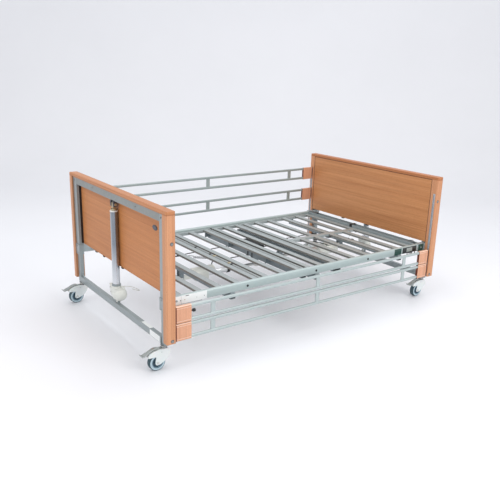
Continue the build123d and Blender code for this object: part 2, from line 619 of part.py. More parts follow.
def caster_pedal():
    """Brake pedal: bar with a wider turned-up toe, hollow below, on a pivot pin."""
    pedal = fuse(prism_y(PEDAL, -10.2, 10.2), prism_y(PEDAL_TOE, -15, 15),
                 cyl_y(PEDAL_PIN_R, -21, 21, PEDAL_X, PEDAL_Z))
    return pedal - prism_y(PEDAL_HOLLOW, -8.2, 8.2)


CASTER_PIECES = {"fork": caster_fork(), "hub": caster_hub(), "tyre": caster_tyre(),
                 "pedal": caster_pedal()}
for end, end_name in ENDS:
    for side, side_name in ((-1, "near"), (1, "far")):
        place = Pos(end * STEM_X, side * STEM_Y, 0)
        for piece_name, piece in CASTER_PIECES.items():
            save(f"{end_name}_{side_name}_{piece_name}", place * piece)

# ---------------------------------------------------------------- side rails
BLOCK_X0, BLOCK_X1, BLOCK_H = 930.0, 1024.0, 98.0
BAR_X = 940.0                        # bars run from -BAR_X to BAR_X
BAR_HALF_W, BAR_HALF_H, BAR_R, BAR_WALL = 6.0, 9.5, 5.6, 1.6
BAR_CLEAR = 0.05
SPACER_XS = (-788, -18, 780)         # uprights between the two bars of a pair
TONGUE_X0, TONGUE_HALF_W, TONGUE_HALF_H = 1004, 4, 30
KNOB_RISE = 8.0                      # knob axis above the centre of the pair
UPPER_HALF, LOWER_HALF = 38.0, 37.0  # half spacing of the bars in a pair

# side, name, centre z of the upper pair, centre z of the lower pair;
# the near side is lowered and the far side raised
RAILS = ((-1, "near", 320.5, 219.5), (1, "far", 727.5, 549.5))


def bar_shape(side, x0, x1, z, inset):
    """Rounded bar section between x0 and x1, shrunk by inset all round."""
    return round_box(x0, x1, side * (RAIL_Y - BAR_HALF_W + inset),
                     side * (RAIL_Y + BAR_HALF_W - inset),
                     z - BAR_HALF_H + inset, z + BAR_HALF_H - inset, "x",
                     BAR_R - max(inset, 0))


def rail_bars(side, z, half):
    """Two hollow bars joined by the spacers."""
    bars = [bar_shape(side, -BAR_X, BAR_X, bar_z, 0)
            - bar_shape(side, -BAR_X - OVERCUT, BAR_X + OVERCUT, bar_z, BAR_WALL)
            for bar_z in (z + half, z - half)]
    spacers = [span_box(x - 14, x + 14, side * 638, side * 644, z - half + 9, z + half - 9)
               for x in SPACER_XS]
    return fuse(*bars, *spacers)


def rail_tongue(end, side, z, end_x):
    """Tongue from inside the end block out to end_x; also cuts its own slot."""
    return corner_box(end, side, TONGUE_X0, end_x, RAIL_Y - TONGUE_HALF_W,
                      RAIL_Y + TONGUE_HALF_W, z - TONGUE_HALF_H, z + TONGUE_HALF_H)


def rail_block(end, side, z, half, has_knob):
    block = corner_box(end, side, BLOCK_X0, BLOCK_X1, RAIL_Y0, RAIL_Y1,
                       z - BLOCK_H / 2, z + BLOCK_H / 2)
    block = round_edges(block, "x", 4.5, lambda c: abs(c.Y) > 649)
    for groove_z in (z - 36.5, z + 36.5):    # V grooves in the outer face
        groove = [(side * 652, groove_z - 4.0), (side * 648.2, groove_z - 0.6),
                  (side * 648.2, groove_z + 0.6), (side * 652, groove_z + 4.0)]
        block = block - prism_x(groove, end * 920, end * 1030)
    for bar_z in (z + half, z - half):
        block = block - bar_shape(side, end * 920, end * BAR_X, bar_z, -BAR_CLEAR)
    block = block - rail_tongue(end, side, z, 1030)
    if has_knob and end < 0:
        block = block - cyl_x(4.1, -975, -925, side * RAIL_Y, z + KNOB_RISE)
    return block


def rail_knob(side, z):
    """Release knob on a plunger that runs along the rail into the foot-end block."""
    y, knob_z = side * RAIL_Y, z + KNOB_RISE
    knob = cyl_x(9.5, -918, -902, y, knob_z)
    knob = fillet(knob.edges().filter_by(GeomType.CIRCLE), 3.5)
    return fuse(knob, cyl_x(5.5, -923, -917, y, knob_z), cyl_x(4.0, -962, -915, y, knob_z))


for side, side_name, upper_z, lower_z in RAILS:
    for pair, z, half in (("upper", upper_z, UPPER_HALF), ("lower", lower_z, LOWER_HALF)):
        save(f"{side_name}_{pair}_blocks",
             *[rail_block(end, side, z, half, pair == "upper") for end, _ in ENDS])
        save(f"{side_name}_{pair}_bars", rail_bars(side, z, half),
             *[rail_tongue(end, side, z, 1038.5) for end, _ in ENDS])
    save(f"{side_name}_knob", rail_knob(side, upper_z))
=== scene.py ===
# Motorised adjustable bed with beech end boards, slatted steel sections and four casters.
# It lies along X: the foot end is at -X, the head end at +X, the near side at -Y and the
# far side at +Y. The pieces come from CAD; this script gives them materials and adds details.
# Details are placed in millimetres in the bed's own frame: x and y from the middle of the
# bed, z from the floor.
import math

import bpy
from mathutils import Matrix, Vector


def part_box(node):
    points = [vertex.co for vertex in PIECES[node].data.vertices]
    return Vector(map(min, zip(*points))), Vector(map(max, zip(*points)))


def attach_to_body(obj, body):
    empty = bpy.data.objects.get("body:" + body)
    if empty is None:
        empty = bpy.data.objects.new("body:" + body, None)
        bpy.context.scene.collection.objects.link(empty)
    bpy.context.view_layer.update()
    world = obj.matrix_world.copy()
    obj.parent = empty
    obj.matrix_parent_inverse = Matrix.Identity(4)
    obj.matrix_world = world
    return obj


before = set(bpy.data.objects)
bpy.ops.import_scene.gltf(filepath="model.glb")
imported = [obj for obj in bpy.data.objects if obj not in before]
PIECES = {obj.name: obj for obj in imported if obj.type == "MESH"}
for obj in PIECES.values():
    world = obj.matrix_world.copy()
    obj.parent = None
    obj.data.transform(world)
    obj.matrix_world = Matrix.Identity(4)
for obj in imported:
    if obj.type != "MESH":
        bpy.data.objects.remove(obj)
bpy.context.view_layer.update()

BED_X, BED_Z = 0.0535, -0.005         # metres: origin of the bed's own frame
ENDS = (("foot", -1), ("head", 1))    # name and sign of x
SIDES = (("near", -1), ("far", 1))    # name and sign of y


# ------------------------------------------------------------ colour helpers
def linear(value):
    value = value / 255.0
    return value / 12.92 if value <= 0.04045 else ((value + 0.055) / 1.055) ** 2.4


def srgb(red, green, blue):
    """Linear RGBA from 0-255 display values."""
    return (linear(red), linear(green), linear(blue), 1.0)


def shade(colour, gains, lift=0.0):
    """A colour with each channel scaled, lifted and held below 1."""
    return tuple(min(c * gain + lift, 1) for c, gain in zip(colour, gains)) + (1,)


class Mat:
    """A principled material with short helpers for its node tree."""

    def __init__(self, name):
        self.material = bpy.data.materials.new(name)
        self.material.use_nodes = True
        self.tree = self.material.node_tree
        self.shader = next(n for n in self.tree.nodes if n.type == "BSDF_PRINCIPLED")

    def feed(self, socket, value):
        if isinstance(value, bpy.types.NodeSocket):
            self.tree.links.new(value, socket)
        else:
            socket.default_value = value

    def node(self, kind, inputs=None, **props):
        """Add a node and return its outputs."""
        node = self.tree.nodes.new(kind)
        for key, value in props.items():
            setattr(node, key, value)
        for key, value in (inputs or {}).items():
            self.feed(node.inputs[key], value)
        return node.outputs

    def position(self):
        return self.node("ShaderNodeTexCoord")["Object"]

    def split(self, vector):
        return self.node("ShaderNodeSeparateXYZ", {0: vector})

    def mapped(self, scale, offset=(0, 0, 0), order="xyz"):
        """Object position with its axes reordered, then scaled and moved."""
        vector = self.position()
        if order != "xyz":
            parts = self.split(vector)
            inputs = {i: parts["xyz".index(axis)] for i, axis in enumerate(order)}
            vector = self.node("ShaderNodeCombineXYZ", inputs)[0]
        inputs = {"Vector": vector, "Scale": scale, "Location": offset}
        return self.node("ShaderNodeMapping", inputs)[0]

    def noise(self, scale, offset=(0, 0, 0), order="xyz", detail=4.0, rough=0.55, distort=0.0):
        """Noise; scale is cells per metre, one number or one per reordered axis."""
        scales = scale if isinstance(scale, tuple) else (scale,) * 3
        return self.node("ShaderNodeTexNoise", {
            "Vector": self.mapped(scales, offset, order), "Scale": 1.0, "Detail": detail,
            "Roughness": rough, "Distortion": distort})[0]

    def ramp(self, value, *stops):
        """Colour ramp; each stop is a position and a colour or grey level."""
        node = self.tree.nodes.new("ShaderNodeValToRGB")
        self.feed(node.inputs[0], value)
        elements = node.color_ramp.elements
        while len(elements) < len(stops):
            elements.new(0.5)
        for element, (place, colour) in zip(elements, stops):
            element.position = place
            element.color = colour if isinstance(colour, tuple) else (colour,) * 3 + (1,)
        return node.outputs[0]

    def remap(self, value, to, over=(0.0, 1.0)):
        """Map the range over onto the range to."""
        return self.node("ShaderNodeMapRange", {
            "Value": value, "From Min": over[0], "From Max": over[1],
            "To Min": to[0], "To Max": to[1]})[0]

    def math(self, operation, a, b=0.0):
        return self.node("ShaderNodeMath", {0: a, 1: b}, operation=operation)[0]

    def times(self, a, b):
        return self.math("MULTIPLY", a, b)

    def add(self, a, b):
        return self.math("ADD", a, b)

    def mix(self, base, other, amount, mode="MIX"):
        return self.node("ShaderNodeMixRGB", {0: amount, 1: base, 2: other}, blend_type=mode)[0]

    def bump(self, height, strength, distance, normal=None):
        inputs = {"Height": height, "Strength": strength, "Distance": distance}
        if normal is not None:
            inputs["Normal"] = normal
        return self.node("ShaderNodeBump", inputs)[0]

    def bevel(self, radius):
        return self.node("ShaderNodeBevel", {"Radius": radius}, samples=4)[0]

    def edge(self, radius):
        """1 close to an edge, 0 on flat faces."""
        rounded = self.bevel(radius)
        flat = self.node("ShaderNodeNewGeometry")["Normal"]
        dot = self.node("ShaderNodeVectorMath", {0: rounded, 1: flat}, operation="DOT_PRODUCT")
        return self.remap(dot["Value"], to=(1.0, 0.0), over=(0.80, 0.999))

    def finish(self, **inputs):
        names = {"color": "Base Color", "rough": "Roughness", "metal": "Metallic",
                 "normal": "Normal", "coat": "Coat Weight", "coat_rough": "Coat Roughness",
                 "spec": "Specular IOR Level", "sss": "Subsurface Weight",
                 "aniso": "Anisotropic"}
        for key, value in inputs.items():
            self.feed(self.shader.inputs[names[key]], value)
        return self.material


# ------------------------------------------------------------ material kinds
def wood(name, grain, tones, seed, figure=0.4, coat=0.10, seams=(), painted_tilt_light=0.0):
    """Lacquered beech. grain is the axis order, along the grain first; tones are light, mid
    and dark; figure is the strength of the arcs; the last argument sets the strength of a
    painted highlight on faces tilted up and of painted shade on faces tilted down."""
    light, mid, dark = (srgb(*tone) for tone in tones)
    m = Mat(name)
    field = m.noise((0.50, 2.6, 2.6), (seed * 3.1, seed * 1.7, seed * 2.3), grain,
                    detail=1.5, rough=0.45, distort=0.6)
    # long cathedral arcs: contour lines of a stretched field
    rings = m.math("SINE", m.times(field, 62.0))
    rings = m.remap(rings, to=(0.0, 1.0), over=(-0.6, 1.0))
    streak = m.noise((0.8, 60.0, 60.0), (seed, seed * 0.7, 0), grain, rough=0.60, distort=0.15)
    thin = m.noise((1.6, 150.0, 150.0), (seed * 0.3, 0, seed), grain, detail=3.0, rough=0.6)
    fibre = m.noise((9.0, 480.0, 480.0), (0, seed, 0), grain, detail=3.0, rough=0.6)
    fleck = m.noise((80.0, 620.0, 620.0), (seed, 0, seed), grain, detail=2.0, rough=0.5)
    base = m.ramp(streak, (0.16, dark), (0.48, mid), (0.86, light))
    base = m.mix(base, dark, amount=m.times(rings, 0.17 * figure))
    lines = m.ramp(thin, (0.30, 0.80), (0.50, 1.0), (0.72, 1.07))
    base = m.mix(base, lines, amount=0.55, mode="MULTIPLY")
    fibres = m.ramp(fibre, (0.30, 0.86), (0.62, 1.0), (0.80, 1.05))
    base = m.mix(base, fibres, amount=0.60, mode="MULTIPLY")
    spots = m.ramp(fleck, (0.58, 0.0), (0.68, 1.0))
    base = m.mix(base, shade(dark, (0.55, 0.45, 0.4)), amount=m.times(spots, 0.34))
    # glue lines of the edge banding, at fixed distances from the middle of the bed
    if seams:
        parts = m.split(m.position())
        for axis, place, width in seams:
            away = parts["xyz".index(axis)]
            if axis != "y":
                away = m.math("SUBTRACT", away, {"x": BED_X, "z": BED_Z}[axis])
            away = m.math("ABSOLUTE", m.math("SUBTRACT", m.math("ABSOLUTE", away), place))
            line = m.remap(away, to=(1.0, 0.0), over=(width * 0.4, width))
            base = m.mix(base, shade(dark, (0.50, 0.38, 0.34)), amount=m.times(line, 0.55))
    # painted highlight on faces tilted up, painted shade on faces tilted down
    if painted_tilt_light:
        tilt = m.split(m.node("ShaderNodeNewGeometry")["Normal"])[2]
        upward_highlight = m.times(m.remap(tilt, to=(0.0, 1.0), over=(0.15, 0.40)),
                         m.remap(tilt, to=(1.0, 0.3), over=(0.90, 0.99)))
        base = m.mix(base, (0.93, 0.74, 0.62, 1), amount=m.times(upward_highlight, painted_tilt_light))
        downward_shade = m.remap(tilt, to=(0.0, 1.0), over=(-0.15, -0.40))
        base = m.mix(base, shade(dark, (0.6, 0.5, 0.45)),
                     amount=m.times(downward_shade, painted_tilt_light * 0.6))
    edge = m.edge(radius=0.0022)
    base = m.mix(base, shade(light, (1.2, 1.2, 1.22)), amount=m.times(edge, 0.22))
    rough = m.remap(fibre, to=(0.38, 0.52))
    smudge = m.noise(3)
    rough = m.add(rough, m.remap(smudge, to=(-0.05, 0.07)))
    height = m.add(m.times(fibre, 0.6), m.times(streak, 0.4))
    normal = m.bump(height, strength=0.12, distance=0.0006, normal=m.bevel(0.0022))
    return m.finish(color=base, rough=rough, normal=normal, coat=coat, coat_rough=0.30,
                    spec=0.32)


def painted(name, colour, seed, rough=0.36):
    """Powder-coated steel: orange peel, faint dust in broad patches, rubbed edges."""
    colour = srgb(*colour)
    m = Mat(name)
    peel = m.noise(650, (seed, 0, 0), detail=2.0)
    broad = m.noise(2.6, (0, seed, 0), detail=5.0, rough=0.6)
    dust = m.noise(42, (0, 0, seed), rough=0.6)
    base = m.mix(colour, shade(colour, (0.88, 0.88, 0.88)),
                 amount=m.remap(broad, to=(0.0, 0.42), over=(0.35, 0.75)))
    base = m.mix(base, (0.75, 0.74, 0.70, 1),
                 amount=m.remap(dust, to=(0.0, 0.06), over=(0.45, 0.75)))
    edge = m.edge(radius=0.0012)
    wear = m.ramp(m.noise(120), (0.44, 0.0), (0.60, 1.0))
    base = m.mix(base, srgb(226, 228, 228), amount=m.times(m.times(edge, wear), 0.225))
    gloss = m.add(m.remap(broad, to=(rough - 0.03, rough + 0.05)),
                  m.remap(dust, to=(-0.012, 0.02)))
    # faint scratches along the borders of long cells
    cells = m.node("ShaderNodeTexVoronoi",
                   {"Vector": m.mapped((18, 55, 55), (seed, 3, 1)), "Scale": 1.0},
                   feature="DISTANCE_TO_EDGE")[0]
    scratch = m.ramp(cells, (0.0, 1.0), (0.012, 0.0))
    gloss = m.add(gloss, m.times(scratch, 0.10))
    normal = m.bump(peel, strength=0.07, distance=0.00025, normal=m.bevel(0.0012))
    return m.finish(color=base, rough=gloss, normal=normal, metal=0.30, coat=0.25,
                    coat_rough=0.25, spec=0.5)


def brushed(name, colour, order, rough, metal=0.95):
    """Brushed metal, its lines along the first axis of order."""
    m = Mat(name)
    line = m.noise((2.0, 900, 900), order=order, detail=3.0, rough=0.6)
    broad = m.noise((5, 30, 30), order=order, rough=0.6)
    base = m.mix(colour, shade(colour, (0.78, 0.79, 0.81)),
                 amount=m.remap(line, to=(0.0, 0.35)))
    base = m.mix(base, (0.62, 0.64, 0.66, 1),
                 amount=m.remap(broad, to=(0.0, 0.20), over=(0.4, 0.8)))
    gloss = m.add(m.remap(line, to=(rough - 0.05, rough + 0.10)),
                  m.remap(broad, to=(-0.03, 0.05)))
    normal = m.bump(line, strength=0.06, distance=0.0003, normal=m.bevel(0.0008))
    return m.finish(color=base, rough=gloss, metal=metal, normal=normal, aniso=0.35)


def plastic(name, colour, rough, seed, grain, bump, sss=0.0, coat=0.0, dirt=0.12):
    """Moulded plastic: fine grain, faint dirt in patches and paler edges."""
    colour = srgb(*colour)
    m = Mat(name)
    fine = m.noise(grain, (seed, 0, 0), detail=3.0)
    broad = m.noise(9, (0, seed, 0), detail=5.0, rough=0.6)
    base = m.mix(colour, shade(colour, (0.72, 0.70, 0.66)),
                 amount=m.remap(broad, to=(0.0, dirt), over=(0.35, 0.8)))
    edge = m.edge(radius=0.0014)
    base = m.mix(base, shade(colour, (1.3, 1.3, 1.3), lift=0.02), amount=m.times(edge, 0.18))
    gloss = m.add(m.remap(broad, to=(rough - 0.05, rough + 0.07)),
                  m.remap(fine, to=(-0.03, 0.03)))
    normal = m.bump(fine, strength=bump, distance=0.0003, normal=m.bevel(0.0012))
    return m.finish(color=base, rough=gloss, normal=normal, coat=coat, coat_rough=0.15,
                    sss=sss, spec=0.5)


def label(name, colour, rough, seed, grain=90, coat=0.2, dirt=0.12):
    """Smooth glossy plastic."""
    return plastic(name, colour, rough, seed, grain, bump=0.02, coat=coat, dirt=dirt)


def rubber(name, colour, seed):
    """Matt rubber with paler dusty patches."""
    colour = srgb(*colour)
    m = Mat(name)
    fine = m.noise(520, (seed, 0, 0))
    broad = m.noise(30, (seed, 0, 0), detail=5.0, rough=0.65)
    base = m.mix(colour, shade(colour, (1.6, 1.6, 1.5), lift=0.03),
                 amount=m.remap(broad, to=(0.0, 0.5), over=(0.4, 0.8)))
    rough = m.remap(broad, to=(0.55, 0.78))
    normal = m.bump(fine, strength=0.18, distance=0.0004, normal=m.bevel(0.0012))
    return m.finish(color=base, rough=rough, normal=normal, spec=0.35)


def tube_with_painted_reflection(name):
    """Drawn aluminium with painted reflections: dark blue-grey where it faces the view, paler
    at grazing angles and low down, standing in for the reflected room and floor.
    """
    m = Mat(name)
    line = m.noise((1.2, 260, 260), order="zxy", detail=2.0, rough=0.5)
    cloud = m.noise((6, 14, 14), order="zxy", rough=0.6)
    facing = m.node("ShaderNodeLayerWeight", {"Blend": 0.30})["Facing"]
    height = m.split(m.position())[2]
    # painted reflection: dark blue-grey where the tube faces the view, pale towards grazing
    # angles
    base = m.mix((0.235, 0.262, 0.300, 1), (0.72, 0.75, 0.79, 1),
                 amount=m.remap(facing, to=(0.0, 1.0), over=(0.10, 0.75)))
    # painted reflection of the floor: paler low down
    base = m.mix(base, (0.78, 0.80, 0.83, 1),
                 amount=m.remap(height, to=(0.80, 0.0), over=(0.33, 0.56)))
    base = m.mix(base, (0.16, 0.17, 0.19, 1), amount=m.remap(line, to=(0.0, 0.16)))
    base = m.mix(base, (0.70, 0.72, 0.74, 1),
                 amount=m.remap(cloud, to=(0.0, 0.14), over=(0.40, 0.80)))
    rough = m.add(m.remap(line, to=(0.16, 0.24)), m.remap(cloud, to=(-0.02, 0.04)))
    normal = m.bump(line, strength=0.02, distance=0.0002, normal=m.bevel(0.0008))
    return m.finish(color=base, rough=rough, metal=0.95, normal=normal)


# ----------------------------------------------------------------- materials
# glue lines: axis, distance from the bed's origin, half width (metres)
POST_SEAMS = (("x", 1.0350, 0.0011), ("x", 1.0800, 0.0011), ("y", 0.6262, 0.0011))
RAIL_SEAMS = (("x", 1.0352, 0.0012), ("x", 1.0790, 0.0014), ("z", 0.8725, 0.0011))

POST_WOOD = wood("beech_post", "zxy", ((213, 156, 117), (203, 145, 106), (182, 122, 86)),
                 seed=1.3, seams=POST_SEAMS)
FOOT_RAIL_WOOD = wood("beech_top_rail", "yxz", ((200, 140, 98), (188, 127, 84), (164, 102, 63)),
                      seed=2.9, coat=0.08, seams=RAIL_SEAMS)
HEAD_RAIL_WOOD = wood("beech_top_rail_head", "yxz",
                      ((192, 128, 84), (180, 115, 72), (156, 91, 53)),
                      seed=4.4, coat=0.06, seams=RAIL_SEAMS)
FOOT_PANEL_WOOD = wood("beech_panel", "yxz", ((202, 138, 86), (190, 124, 73), (166, 101, 54)),
                       seed=5.2, figure=0.8)
# the blocks get a painted highlight on faces tilted up and painted shade on faces tilted down
BLOCK_WOOD = wood("beech_block", "zxy", ((222, 168, 136), (213, 157, 125), (196, 138, 106)),
                  seed=7.7, figure=0.3, coat=0.30, painted_tilt_light=0.75)
# end grain of the rail blocks, darker than the long grain and darkened further as painted shade
# for the gaps beside the posts
END_GRAIN_SHADED = wood("beech_end_grain_painted_shade", "yxz", ((132, 70, 48), (114, 57, 38), (90, 42, 28)),
                 seed=9.1, coat=0.04)
HEAD_PANEL_WOOD = wood("beech_panel_head", "yxz",
                       ((210, 150, 102), (198, 137, 89), (172, 110, 66)),
                       seed=3.35, figure=1.25, coat=0.16)
FRAME_PAINT = painted("silver_paint_frame", (158, 169, 172), seed=0.0)
END_PAINT = painted("silver_paint_end", (146, 155, 157), seed=4.0)
CROSSBAR_PAINT = painted("silver_paint_crossbar", (134, 138, 136), seed=5.0)
# darker paint for the slats' sides that look along X: painted shade
SLAT_SIDE_SHADE = painted("silver_paint_slat_sides_painted_shade", (130, 129, 124), seed=10.0, rough=0.45)
SLAT_PAINT = painted("silver_paint_slats", (158, 167, 168), seed=9.0)
SIDE_PAINT = painted("silver_paint_sides", (174, 188, 188), seed=6.0)
# one rail paint in two copies: darker on the far rails as painted shade, paler on the near
# rails as painted light
FAR_RAIL_PAINT_SHADED = painted("silver_paint_far_rails_painted_shade", (152, 163, 163), seed=13.0, rough=0.30)
NEAR_RAIL_PAINT_LIT = painted("silver_paint_near_rails_painted_light", (172, 184, 184), seed=14.0, rough=0.28)
PIVOT_PAINT = painted("grey_paint_pivots", (122, 133, 138), seed=17.0)
PEDAL_ZINC = brushed("zinc_pedal", (0.42, 0.45, 0.43, 1), "xyz", rough=0.26, metal=0.92)
ALUMINIUM = brushed("anodised_aluminium", (0.78, 0.80, 0.83, 1), "zxy", rough=0.28)
TUBE = tube_with_painted_reflection("lift_tube_painted_reflection")
ROD_ALUMINIUM = brushed("brushed_aluminium_x", (0.76, 0.77, 0.78, 1), "xyz", rough=0.28)
STEEL = brushed("zinc_steel", (0.60, 0.60, 0.58, 1), "xyz", rough=0.30)
BOLT = brushed("dull_bolt", (0.30, 0.31, 0.30, 1), "xyz", rough=0.36, metal=0.9)
BRASS = brushed("brass_clevis", (0.50, 0.42, 0.26, 1), "yxz", rough=0.34)
DARK_STEEL = brushed("dark_steel", (0.10, 0.10, 0.11, 1), "yxz", rough=0.38, metal=0.8)
IVORY = plastic("ivory_housing", (214, 216, 210), rough=0.36, seed=1.0, grain=380, bump=0.10,
                coat=0.10)
WHITE = plastic("white_caster", (216, 221, 221), rough=0.28, seed=2.0, grain=300, bump=0.05,
                sss=0.05, coat=0.25, dirt=0.08)
WHITE_CAP = plastic("white_cap", (236, 236, 232), rough=0.34, seed=3.0, grain=300, bump=0.05)
HUB = plastic("blue_grey_hub", (108, 138, 156), rough=0.42, seed=4.0, grain=420, bump=0.08)
HUB_RECESS = plastic("blue_grey_hub_recess", (62, 86, 100), rough=0.50, seed=4.5, grain=420,
                     bump=0.08)
TYRE_RING = plastic("pale_side_ring", (172, 192, 202), rough=0.48, seed=4.8, grain=520,
                    bump=0.12)
BLACK = plastic("black_plastic", (28, 29, 31), rough=0.45, seed=5.0, grain=520, bump=0.16)
KNOB = plastic("black_knob", (20, 21, 23), rough=0.38, seed=6.0, grain=700, bump=0.20)
TREAD = rubber("teal_grey_tread", (58, 78, 86), seed=1.0)
CABLE = rubber("black_cable", (24, 25, 27), seed=2.0)
PALE_LABEL = label("blank_label_pale", (150, 156, 152), rough=0.34, seed=8.5, grain=60,
                   dirt=0.4)
# dark strips put in the gaps round the panels, rails and posts as painted shadow
SHADOW_STRIP = rubber("painted_shadow_strip", (40, 27, 22), seed=5.0)
LEAD = rubber("pale_lead", (176, 176, 170), seed=3.0)
WHITE_LABEL = label("blank_label_white", (232, 234, 234), rough=0.30, seed=8.0, dirt=0.05)
GREEN_LABEL = label("blank_label_green", (26, 66, 58), rough=0.32, seed=9.0)
BLACK_LABEL = label("blank_label_black", (30, 33, 34), rough=0.34, seed=10.0)
BADGE = label("blue_badge", (16, 20, 44), rough=0.30, seed=11.0, coat=0.6)


# ------------------------------------------------------- assigning materials
def paint(piece, materials, choose=lambda x, y, z: 0, edge=None):
    """Give a CAD piece its materials. choose takes a face's centre in the bed's frame (mm)
    and returns a material index; edge, a darker paint for painted shade, goes on the faces left
    at 0 that look along X."""
    mesh = PIECES[piece].data
    if edge is not None:
        materials = materials + [edge]
    mesh.materials.clear()
    for material in materials:
        mesh.materials.append(material)
    for face in mesh.polygons:
        x, y, z = face.center
        index = int(choose((x - BED_X) * 1000.0, y * 1000.0, (z - BED_Z) * 1000.0))
        if edge is not None and index == 0 and abs(face.normal.x) > 0.9:
            index = len(materials) - 1
        face.material_index = index


def at_head(x, y, z):
    return x > 0


def below_section(x, y, z):
    """Levers and pivots hanging under a slatted section."""
    return z < 368


def bar_tip(x, y, z):
    return abs(x) > 1003.9


def block_end(x, y, z):
    return abs(x) > 1023.7 or abs(x) < 930.3


paint("end_posts", [POST_WOOD])
paint("top_rails", [FOOT_RAIL_WOOD, HEAD_RAIL_WOOD], at_head)
paint("end_panels", [FOOT_PANEL_WOOD, HEAD_PANEL_WOOD], at_head)
paint("upper_frames", [END_PAINT, CROSSBAR_PAINT], lambda x, y, z: z > 815 and abs(y) < 600)
paint("leg_collars", [END_PAINT])
paint("rail_channels", [ALUMINIUM])
paint("corner_couplers", [FRAME_PAINT])
paint("end_bolts", [STEEL, BOLT], lambda x, y, z: abs(y) < 661.4 or abs(y) > 662.4)
paint("lift_pistons", [STEEL, BRASS], lambda x, y, z: z > 765)
paint("lift_clevises", [DARK_STEEL, BRASS], lambda x, y, z: abs(y) > 24.2 or abs(y) < 11.9)
paint("side_members", [SIDE_PAINT])
paint("platform_plugs", [BLACK])
paint("cross_members", [FRAME_PAINT, PIVOT_PAINT], lambda x, y, z: z < 353)
paint("pole_sockets", [PIVOT_PAINT])
paint("seat_section", [SLAT_PAINT], edge=SLAT_SIDE_SHADE)
paint("pivot_pins", [STEEL])
for section in ("backrest_section", "thigh_section"):
    paint(section, [SLAT_PAINT, PIVOT_PAINT], below_section, edge=SLAT_SIDE_SHADE)
paint("leg_section", [SLAT_PAINT], edge=SLAT_SIDE_SHADE)
paint("leg_glides", [BLACK])
paint("backrest_rod", [STEEL])
paint("thigh_rod", [STEEL])
# the motors' guide tubes: within 22 mm of the rod's axis
paint("backrest_motor", [IVORY, ROD_ALUMINIUM],
      lambda x, y, z: x < 599.5 and y * y + (z - 285) ** 2 < 22 ** 2)
paint("thigh_motor", [IVORY, ROD_ALUMINIUM],
      lambda x, y, z: x > -429.5 and y * y + (z - 264) ** 2 < 22 ** 2)
paint("actuator_pins", [STEEL])
paint("control_box", [BLACK])
paint("cables", [CABLE])

STEM_X, STEM_Y = 1063.0, 583.0    # caster stems
WHEEL_TRAIL, WHEEL_Z = 47, 53     # the wheel's axle: distance from its stem towards -X, height


def paint_caster(name, stem_x, stem_y):
    def stem_radius(x, y):
        return math.hypot(x - stem_x, y - stem_y)

    def wheel_radius(x, z):
        return math.hypot(x - stem_x + WHEEL_TRAIL, z - WHEEL_Z)

    def fork(x, y, z):
        aside = abs(y - stem_y)
        if z > 126.6 and stem_radius(x, y) < 18.2:
            # steel stem with a dark ring low down
            return 2 if z < 130.4 and stem_radius(x, y) > 17.5 else 1
        # axle
        return aside > 22.1 or (aside < 16.9 and wheel_radius(x, z) < 6)

    def hub_recess(x, y, z):
        return abs(y - stem_y) < 10.9 and 13.2 < wheel_radius(x, z) < 28.5

    def tyre_side(x, y, z):
        return abs(y - stem_y) > 14.4 and wheel_radius(x, z) < 43.6

    paint(name + "_fork", [WHITE, STEEL, DARK_STEEL], fork)
    paint(name + "_hub", [HUB, HUB_RECESS], hub_recess)
    paint(name + "_tyre", [TREAD, TYRE_RING], tyre_side)
    paint(name + "_pedal", [PEDAL_ZINC])


def lower_frame(x, y, z):
    """Paint above, then steel with dark steel over and under it."""
    if z > 144.9:
        return 0
    return 2 if z > 142.2 or z < 134.7 else 1


def lift_tube(x, y, z):
    """White cap on top, painted foot below."""
    if z > 756.9:
        return 1
    return 2 if z < 315 else 0


def lift_screws(x, y, z):
    """Two screw heads on the outer face of a lift motor."""
    nearest = min(math.hypot(y - 47, z - 279), math.hypot(y - 40, z - 251))
    return abs(x) > 1088.3 and nearest < 2.7


for end, e in ENDS:
    paint(end + "_lower_frame", [END_PAINT, STEEL, DARK_STEEL], lower_frame)
    paint(end + "_lift_tube", [TUBE, WHITE_CAP, END_PAINT], lift_tube)
    paint(end + "_lift_motor", [IVORY, DARK_STEEL], lift_screws)
    for side, s in SIDES:
        paint_caster(f"{end}_{side}", e * STEM_X, s * STEM_Y)
# near rails take the painted-light copy, far rails the painted-shade copy
for side, bar_paint_by_light in (("near", NEAR_RAIL_PAINT_LIT), ("far", FAR_RAIL_PAINT_SHADED)):
    for level in ("upper", "lower"):
        paint(f"{side}_{level}_bars", [bar_paint_by_light, BLACK], bar_tip)
    for level in ("upper", "lower"):
        paint(f"{side}_{level}_blocks", [BLOCK_WOOD, END_GRAIN_SHADED], block_end)
    paint(side + "_knob", [KNOB])


def attach(part, body):
    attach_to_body(part, body)


def mesh_object(name, verts, faces, material, smooth=False):
    mesh = bpy.data.meshes.new(name)
    mesh.from_pydata(verts, [], faces)
    mesh.update()
    for face in mesh.polygons:
        face.use_smooth = smooth
    part = bpy.data.objects.new(name, mesh)
    mesh.materials.append(material)
    bpy.context.scene.collection.objects.link(part)
    return part


def scene_point(x, y, z):
    """Scene position in metres of a point in the bed's frame."""
    return Vector((x / 1000.0 + BED_X, y / 1000.0, z / 1000.0 + BED_Z))


def span(sign, start, stop):
    return (sign * start, sign * stop)


